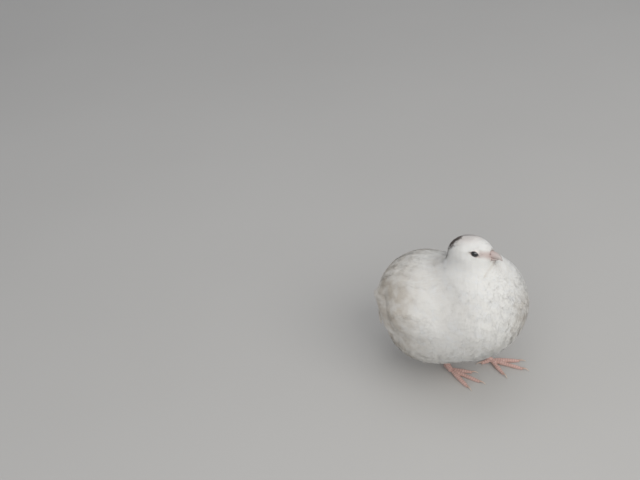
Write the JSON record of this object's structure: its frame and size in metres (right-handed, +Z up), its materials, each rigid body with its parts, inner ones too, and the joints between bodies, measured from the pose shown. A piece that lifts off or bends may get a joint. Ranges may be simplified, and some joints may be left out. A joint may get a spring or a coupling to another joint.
{
  "type": "life-size coturnix quail figure",
  "caption": "Life-size standing coturnix quail of a white domestic strain, plumage fluffed, head drawn back and tilted, at rest on both feet.",
  "frame": {"origin": "on the floor, under the middle of the bird's box", "axes": "+X towards the bill, +Y to the bird's left, +Z up from the floor, the longest side of the box"},
  "size_m": [0.1116, 0.0826, 0.1257],
  "materials": {
    "plumage": "soft white down and contour feathers over skin",
    "flight_feathers": "smooth white vanes",
    "bill": "satin horn, flesh pink",
    "eye": "wet gloss, near black",
    "leg_skin": "satin scaled skin, flesh pink",
    "claw": "satin horn, pale"
  },
  "bodies": {
    "root": {"trunk": "plumage", "neck": "plumage", "head": "plumage", "tail": "flight_feathers", "bill_upper": "bill", "bill_lower": "bill", "eye_left": "eye", "eye_right": "eye", "wing_left": "flight_feathers", "wing_right": "flight_feathers", "thigh_left": "plumage", "thigh_right": "plumage", "shank_left": "leg_skin", "shank_right": "leg_skin", "toe_inner_left": "leg_skin", "toe_middle_left": "leg_skin", "toe_outer_left": "leg_skin", "toe_hind_left": "leg_skin", "toe_inner_right": "leg_skin", "toe_middle_right": "leg_skin", "toe_outer_right": "leg_skin", "toe_hind_right": "leg_skin", "claw_inner_left": "claw", "claw_middle_left": "claw", "claw_outer_left": "claw", "claw_hind_left": "claw", "claw_inner_right": "claw", "claw_middle_right": "claw", "claw_outer_right": "claw", "claw_hind_right": "claw"}
  },
  "joints": []
}
